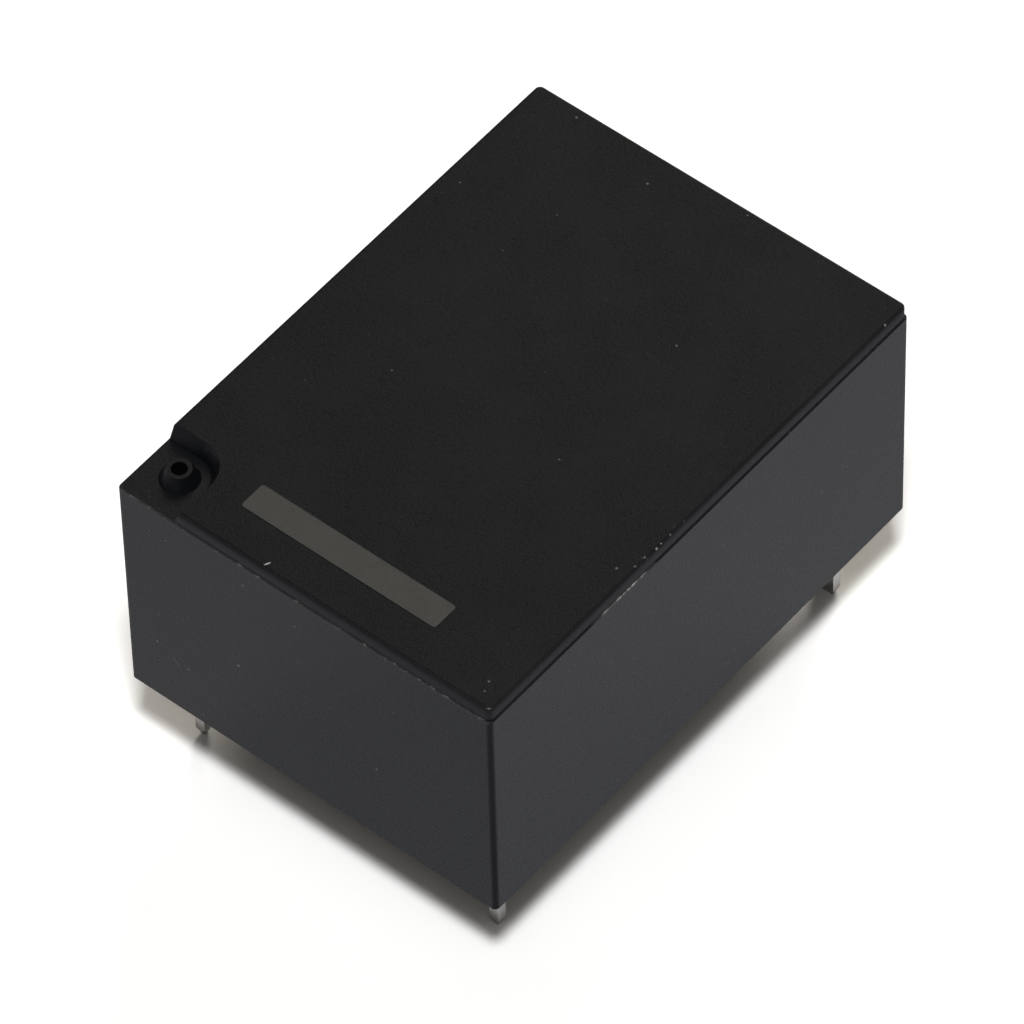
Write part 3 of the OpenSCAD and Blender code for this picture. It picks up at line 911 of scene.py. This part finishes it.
@dataclass(frozen=True)
class ResinPool:
    """The sealing resin, poured level and drawn up where it wets the walls, feet and pins.

    Args:
        pitch_mm: spacing of the surface grid.
        climb_mm: how far the resin climbs a wall.
        reach_mm: how far from the wall the climb dies away.
        level_mm: how far the free surface lies above the lowest level that the resin may have.
        pin_half_mm: half the thickness of every pin along X.
        swell_mm: height of the slow unevenness of the free surface.
        swell_turns: its waves along X and Y, in radians per metre.
        wetted: the nodes whose pins leave the resin.
    """

    pitch_mm: float = 0.13
    climb_mm: float = 0.24
    reach_mm: float = 0.28
    level_mm: float = 0.05
    pin_half_mm: float = 0.2
    swell_mm: float = 0.02
    swell_turns: tuple[float, float] = (900.0, 700.0)
    wetted: tuple[str, ...] = (
        "coil_terminal_front",
        "coil_terminal_back",
        "moving_terminal",
        "fixed_terminal",
    )

    def pins(self) -> list[tuple[float, float, float]]:
        """Reads each pin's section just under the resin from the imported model.

        Returns:
            For each pin its middle in X and Y and its half-width along Y, in metres.
        """
        found = []
        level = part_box("sealing_resin")[0].z
        for node in self.wetted:
            co = np.array([v.co for v in bpy.data.objects[node].data.vertices])
            part = co[co[:, 2] < level]
            low, high = part.min(0), part.max(0)
            found.append(((low[0] + high[0]) / 2, (low[1] + high[1]) / 2, (high[1] - low[1]) / 2))
        return found

    def build(self, finish: Finish) -> bpy.types.Object:
        """Makes the pool as a closed slab whose underside is the free surface.

        The free surface hangs level and rises by climb x exp(-distance / reach) towards every wetted wall
        or pin; downwards is outwards here, so the climb goes down along them.

        Args:
            finish: the cured resin.

        Returns:
            The piece.
        """
        low, high = (np.array(corner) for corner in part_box("sealing_resin"))
        counts = [int(round((high - low)[i] / (self.pitch_mm * MM))) + 1 for i in (0, 1)]
        xs, ys = (np.linspace(low[i], high[i], counts[i]) for i in (0, 1))
        x, y = np.meshgrid(xs, ys, indexing="ij")
        gap = np.minimum(np.minimum(x - low[0], high[0] - x), np.minimum(y - low[1], high[1] - y))
        for px, py, half in self.pins():
            off_x, off_y = np.abs(x - px) - self.pin_half_mm * MM, np.abs(y - py) - half
            gap = np.minimum(gap, np.hypot(np.maximum(off_x, 0), np.maximum(off_y, 0)))
        start = 1.3
        turn_x, turn_y = self.swell_turns
        swell = self.swell_mm * MM * (np.sin(x * turn_x + start) * np.cos(y * turn_y) + 1)
        sunk = 1 - np.exp(-gap / (self.reach_mm * MM))
        depth = self.level_mm * MM + self.climb_mm * MM * sunk + swell
        under = np.stack([x, y, low[2] + depth], axis=-1)
        index = np.arange(x.size).reshape(x.shape)
        corners = [index[:-1, :-1], index[:-1, 1:], index[1:, 1:], index[1:, :-1]]
        quads = np.stack(corners, axis=-1).reshape(-1, 4)
        rim = np.concatenate([index[:-1, 0], index[-1, :-1], index[:0:-1, -1], index[0, :0:-1]])
        top = under.reshape(-1, 3)[rim] * (1, 1, 0) + (0, 0, high[2])
        roof = x.size + np.arange(len(rim))
        next_rim, next_roof = np.roll(rim, -1), np.roll(roof, -1)
        sides = np.stack([rim, next_rim, next_roof, roof], axis=-1)
        faces = [*quads.tolist(), *sides.tolist(), roof.tolist()]
        points = np.concatenate([under.reshape(-1, 3), top])
        piece = mesh_object("resin_pool", points, faces, finish.material())
        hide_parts("sealing_resin")
        return piece


class Relay:
    """The whole relay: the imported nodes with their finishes, and the pieces that stand for some of them.

    Args:
        plate_rise_mm: how far the lid plate rises above the rim.
    """

    def __init__(self, frame: dict[str, Any], plate_rise_mm: float = 0.6) -> None:
        """Reads the case sizes from the frame and makes the finishes."""
        self.nodes: dict[str, bpy.types.Object] = frame["nodes"]
        self.root = frame["joints"][0]["parent"]
        low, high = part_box("cover")
        top_mm = high.z / MM
        self.size = CaseSize(-low.x / MM, -low.y / MM, top_mm - plate_rise_mm, top_mm)
        self.finish = Finishes(self.size)

    def dress(self) -> None:
        """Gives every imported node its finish."""
        finish = self.finish
        plan: dict[str, Finish] = {
            "cover": finish.case,
            "end_stripe": finish.ink,
            "base": finish.base,
            "sealing_resin": finish.resin,
            "bobbin": finish.bobbin,
            "coil_winding": finish.winding,
            "lead_wire_front": finish.lead,
            "lead_wire_back": finish.lead,
            "coil_terminal_front": finish.tin,
            "coil_terminal_back": finish.tin,
            "core": finish.iron,
            "yoke": finish.iron,
            "hinge_spring": finish.bronze,
            "armature": finish.iron,
            "card": finish.card,
            "moving_spring": finish.bronze,
            "moving_contact": finish.silver,
            "moving_terminal": finish.tin,
            "fixed_terminal": finish.tin,
            "fixed_contact": finish.silver,
        }
        for name, look in plan.items():
            materials = self.nodes[name].data.materials
            materials.clear()
            materials.append(look.material())
            LOG.info("dressed %s with %s", name, look.name)

    def add_pieces(self) -> None:
        """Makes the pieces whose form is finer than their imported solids."""
        for piece in (Winding().build(self.finish.winding), ResinPool().build(self.finish.resin)):
            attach(piece, self.root)
            LOG.info("made %s with %d faces", piece.name, len(piece.data.polygons))


def toward(azimuth: float, elevation: float) -> Vector:
    """Returns the direction to a place seen at an azimuth and an elevation.

    Args:
        azimuth: degrees from -Y towards +X.
        elevation: degrees above the floor.

    Returns:
        A unit vector.
    """
    turn, lift = math.radians(azimuth), math.radians(elevation)
    return Vector((math.sin(turn) * math.cos(lift), -math.cos(turn) * math.cos(lift), math.sin(lift)))


@dataclass(frozen=True)
class PhotoCamera:
    """A camera that sees the relay as the photograph does.

    Args:
        focal_px: focal length in pixels of the 1024 pixel frame.
        azimuth, elevation, roll: the view's angles in degrees.
        distance: from the middle of the case's rim, in metres.
        slide: how far the camera stands off that line, to its right and upwards, in metres.
        aim_z: level of the rim in metres.
        clip: nearest and farthest distance that it sees, in metres.
    """

    focal_px: float = 9749.2
    azimuth: float = -49.429
    elevation: float = 51.047
    roll: float = -1.6467
    distance: float = 0.32261
    slide: tuple[float, float] = (-0.0001085, -0.0036722)
    aim_z: float = 0.0138
    clip: tuple[float, float] = (0.01, 50.0)

    def build(self) -> bpy.types.Object:
        """Makes the camera and sets it as the scene's own.

        Returns:
            The camera.
        """
        turn, roll = math.radians(self.azimuth), math.radians(self.roll)
        back = toward(self.azimuth, self.elevation)
        level = Vector((math.cos(turn), math.sin(turn), 0.0))
        upright = back.cross(level)
        right = level * math.cos(roll) + upright * math.sin(roll)
        up = upright * math.cos(roll) - level * math.sin(roll)
        lens = bpy.data.cameras.new("photo_camera")
        lens.sensor_width = SENSOR_MM
        lens.lens = self.focal_px / PHOTO_PX * SENSOR_MM
        lens.clip_start, lens.clip_end = self.clip
        camera = bpy.data.objects.new("photo_camera", lens)
        aside, above = self.slide
        place = back * self.distance + right * aside + up * above + Vector((0, 0, self.aim_z))
        camera.matrix_world = Matrix.Translation(place) @ Matrix((right, up, back)).transposed().to_4x4()
        bpy.context.scene.collection.objects.link(camera)
        bpy.context.scene.camera = camera
        return camera


@dataclass(frozen=True)
class Softbox:
    """A square area lamp that points at the relay.

    Args:
        name: its name.
        azimuth, elevation: where it stands, in degrees.
        distance: from the relay in metres.
        side: its width in metres.
        watts: its power.
    """

    name: str
    azimuth: float
    elevation: float
    distance: float
    side: float
    watts: float

    def build(self) -> bpy.types.Object:
        """Makes the lamp.

        Returns:
            The lamp, turned to the relay.
        """
        away = toward(self.azimuth, self.elevation)
        lamp = bpy.data.lights.new(self.name, "AREA")
        lamp.size = self.side
        lamp.energy = self.watts
        made = bpy.data.objects.new(self.name, lamp)
        made.location = away * self.distance
        made.rotation_euler = away.to_track_quat("Z", "Y").to_euler()
        bpy.context.scene.collection.objects.link(made)
        return made


@dataclass(frozen=True)
class Window:
    """A bright soft patch of the sky behind the relay, which lights the floor under its far corners.

    Args:
        azimuth, elevation: where its middle is, in degrees.
        half_width: from its middle to the middle of its soft edge, in degrees.
        gain: how many times brighter than the haze it is.
        tint: its colour where the gain is 1.
    """

    azimuth: float
    elevation: float
    half_width: float
    gain: float
    tint: Colour

    def mask(self, way: tuple[Sock, Sock, Sock]) -> Sock:
        """Returns 1 inside and 0 outside.

        Args:
            way: the three coordinates of the direction, whose angle to the window's middle counts.

        Returns:
            The mask.
        """
        middle = toward(self.azimuth, self.elevation)
        facing = way[0] * middle.x + way[1] * middle.y + way[2] * middle.z
        edge_starts, edge_ends = 0.5 * self.half_width, 1.5 * self.half_width
        return facing.fade(math.cos(math.radians(edge_ends)), math.cos(math.radians(edge_starts)))


@dataclass(frozen=True)
class Studio:
    """A pale floor, a soft sky and soft lamps.

    Args:
        floor_half: half the width of the floor in metres.
        floor_colour: the floor's own colour.
        mirrored_floor: its colour as mirrors show it.
        floor_glow: extra light of the floor that only the camera and mirrors see.
        haze: light of the sky as matt surfaces receive it.
        horizon, zenith: light of the sky near the horizon and overhead, as mirrors show it.
        low_sky, high_sky: heights of a unit direction between which the one turns to the other.
        window: the bright patch of the sky, which only matt surfaces receive.
        lamps: the softboxes.
    """

    floor_half: float = 1.5
    floor_colour: Colour = (0.86, 0.86, 0.86)
    mirrored_floor: Colour = (0.393, 0.402, 0.441)
    floor_glow: float = 0.01
    haze: Colour = (0.074, 0.064, 0.051)
    horizon: float = 0.08
    zenith: float = 0.15
    low_sky: float = 0.05
    high_sky: float = 0.75
    window: Window = Window(
        azimuth=113.0,
        elevation=36.0,
        half_width=11.0,
        gain=140.0,
        tint=(0.0765, 0.0735, 0.0670),
    )
    lamps: tuple[Softbox, ...] = (
        Softbox("key_box", azimuth=-48.0, elevation=68.2, distance=0.9, side=0.12, watts=7.95),
        Softbox("broad_box", azimuth=-48.0, elevation=68.2, distance=0.9, side=0.5, watts=1.5),
    )

    def build(self) -> None:
        """Makes the floor, the sky and the lamps, and sets the view transform."""
        scene = bpy.context.scene
        scene.view_settings.view_transform = "Standard"
        self.floor()
        self.sky(scene)
        for lamp in self.lamps:
            lamp.build()
        LOG.info("lit by %d softboxes", len(self.lamps))

    @staticmethod
    def seen(book: NodeBook) -> Sock:
        """Tells what is looked at from what only lights a matt surface.

        Args:
            book: the node book of the floor or the sky.

        Returns:
            1 for rays of the camera, of mirrors and through glass, and 0 for the rest.
        """
        path = book.add("ShaderNodeLightPath", {}, {})
        camera = Sock(book, path.outputs["Is Camera Ray"])
        glossy = Sock(book, path.outputs["Is Glossy Ray"])
        through = Sock(book, path.outputs["Is Transmission Ray"])
        return camera.most(glossy).most(through)

    def floor(self) -> None:
        """Makes the floor, which glows a little for the camera and is darker in mirrors."""
        corners = np.array([[-1, -1, 0], [1, -1, 0], [1, 1, 0], [-1, 1, 0]]) * self.floor_half
        made = bpy.data.materials.new("studio_floor")
        made.use_nodes = True
        book = NodeBook(made.node_tree)
        path = book.add("ShaderNodeLightPath", {}, {})
        glossy = Sock(book, path.outputs["Is Glossy Ray"])
        tone = book.blend(glossy, self.floor_colour, self.mirrored_floor)
        matt = book.add("ShaderNodeBsdfDiffuse", {}, {"Color": tone})
        glow = book.add("ShaderNodeEmission", {}, {"Strength": self.seen(book) * self.floor_glow})
        both = book.add("ShaderNodeAddShader", {}, {0: matt.outputs[0], 1: glow.outputs[0]})
        book.add("ShaderNodeOutputMaterial", {}, {"Surface": both.outputs[0]})
        mesh_object("studio_floor", corners, [[0, 1, 2, 3]], made, smooth=False)

    def sky(self, scene: bpy.types.Scene) -> None:
        """Makes the sky: white to the camera, even for matt surfaces but for the window, dim in mirrors.

        Args:
            scene: the scene that gets it.
        """
        world = bpy.data.worlds.new("studio_sky")
        world.use_nodes = True
        scene.world = world
        book = NodeBook(world.node_tree)
        ray = book.add("ShaderNodeTexCoord", {}, {})
        split = book.add("ShaderNodeSeparateXYZ", {}, {0: ray.outputs["Generated"]})
        way = tuple(Sock(book, out) for out in split.outputs)
        height = way[2].fade(self.low_sky, self.high_sky)
        mirrored = height * (self.zenith - self.horizon) + self.horizon
        path = book.add("ShaderNodeLightPath", {}, {})
        glossy = Sock(book, path.outputs["Is Glossy Ray"])
        looked_at = self.seen(book)
        patch = self.window.mask(way)
        strength = glossy * (mirrored - 1.0) + (1.0 - looked_at) * patch * self.window.gain + 1.0
        tone = book.blend(looked_at, book.blend(patch, self.haze, self.window.tint), (1.0, 1.0, 1.0))
        back = book.add("ShaderNodeBackground", {}, {"Color": tone, "Strength": strength})
        book.add("ShaderNodeOutputWorld", {}, {"Surface": back.outputs[0]})


def main() -> None:
    """Builds the dressed relay, the studio and the camera."""
    logging.basicConfig(level=logging.INFO, format="%(name)s: %(message)s")
    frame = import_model()
    PhotoCamera().build()
    relay = Relay(frame)
    relay.dress()
    relay.add_pieces()
    Studio().build()


if __name__ == "__main__":
    main()
